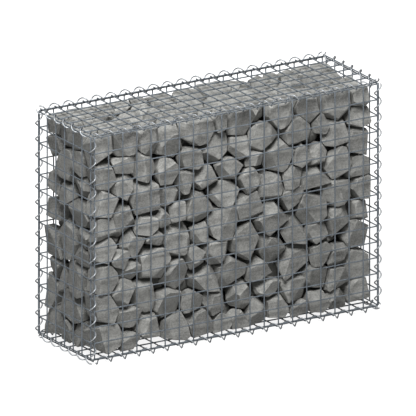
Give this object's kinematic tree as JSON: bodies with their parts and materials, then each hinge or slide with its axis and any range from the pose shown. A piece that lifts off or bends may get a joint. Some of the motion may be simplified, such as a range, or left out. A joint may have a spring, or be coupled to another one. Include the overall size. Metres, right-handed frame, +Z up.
{
  "type": "gabion wall",
  "caption": "Free-standing gabion wall: a long narrow welded-wire basket of square mesh, laced along every edge with wire spirals and filled with angular grey stone.",
  "frame": {"origin": "middle of the wall's length and depth, on the floor under the base spirals", "axes": "+X along the length, +Y through the depth from front to back, +Z up"},
  "size_m": [1.0354, 0.3357, 0.7359],
  "materials": {
    "mesh_wire": "galvanised, dull blue-grey zinc",
    "spiral_wire": "galvanised, slightly brighter drawn wire",
    "stone": "rough broken grey stone"
  },
  "bodies": {
    "root": {"mesh_front": "mesh_wire", "mesh_back": "mesh_wire", "mesh_left": "mesh_wire", "mesh_right": "mesh_wire", "mesh_lid": "mesh_wire", "mesh_base": "mesh_wire", "spiral_lid_front": "spiral_wire", "spiral_lid_back": "spiral_wire", "spiral_base_front": "spiral_wire", "spiral_base_back": "spiral_wire", "spiral_lid_left": "spiral_wire", "spiral_lid_right": "spiral_wire", "spiral_base_left": "spiral_wire", "spiral_base_right": "spiral_wire", "spiral_front_left": "spiral_wire", "spiral_front_right": "spiral_wire", "spiral_back_left": "spiral_wire", "spiral_back_right": "spiral_wire", "stone_lower": "stone", "stone_middle": "stone", "stone_upper": "stone"}
  },
  "joints": []
}
